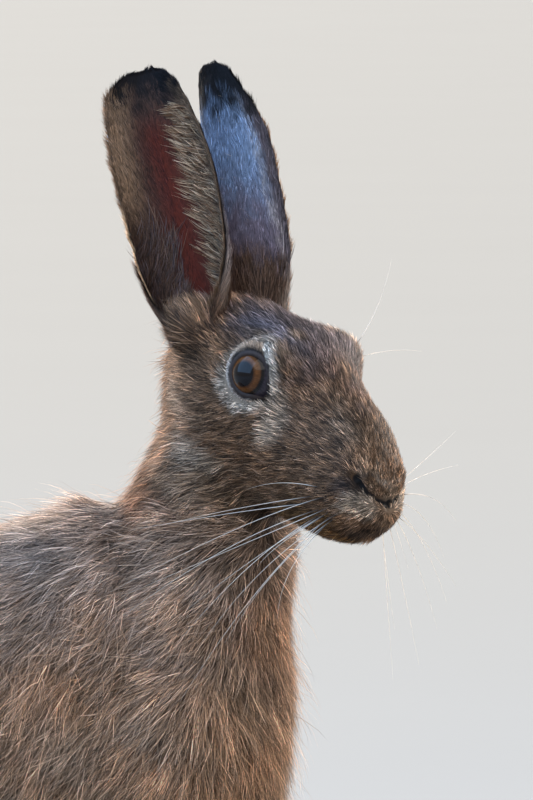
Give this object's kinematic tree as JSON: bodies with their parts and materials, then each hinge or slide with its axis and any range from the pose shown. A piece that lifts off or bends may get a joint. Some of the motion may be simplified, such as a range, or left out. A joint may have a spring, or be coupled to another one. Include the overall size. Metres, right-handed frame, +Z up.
{
  "type": "brown hare model",
  "caption": "Still, life-size model of a brown hare sitting up on its haunches, head turned to its right, long black-tipped ears held upright.",
  "frame": {"origin": "on the floor, at the middle of the model's bounding box", "axes": "+X to the hare's front, +Y to its left, +Z up; the head is turned 43 degrees towards -Y"},
  "size_m": [0.4442, 0.1716, 0.4484],
  "materials": {
    "coat": "short dense fur, brown with dark and pale hair tips",
    "eye": "wet, glossy amber-brown eye with a dark pupil",
    "claw": "dull dark horn"
  },
  "bodies": {
    "root": {"claw_dew_left": "claw", "claw_dew_right": "claw", "claw_fore_left_1": "claw", "claw_fore_left_2": "claw", "claw_fore_left_3": "claw", "claw_fore_left_4": "claw", "claw_fore_right_1": "claw", "claw_fore_right_2": "claw", "claw_fore_right_3": "claw", "claw_fore_right_4": "claw", "claw_hind_left_1": "claw", "claw_hind_left_2": "claw", "claw_hind_left_3": "claw", "claw_hind_left_4": "claw", "claw_hind_right_1": "claw", "claw_hind_right_2": "claw", "claw_hind_right_3": "claw", "claw_hind_right_4": "claw", "ear_left": "coat", "ear_right": "coat", "eye_left": "eye", "eye_right": "eye", "forearm_left": "coat", "forearm_right": "coat", "forefoot_left": "coat", "forefoot_right": "coat", "head": "coat", "hindfoot_left": "coat", "hindfoot_right": "coat", "neck": "coat", "shank_left": "coat", "shank_right": "coat", "tail": "coat", "thigh_left": "coat", "thigh_right": "coat", "torso": "coat", "upper_arm_left": "coat", "upper_arm_right": "coat"}
  },
  "joints": []
}
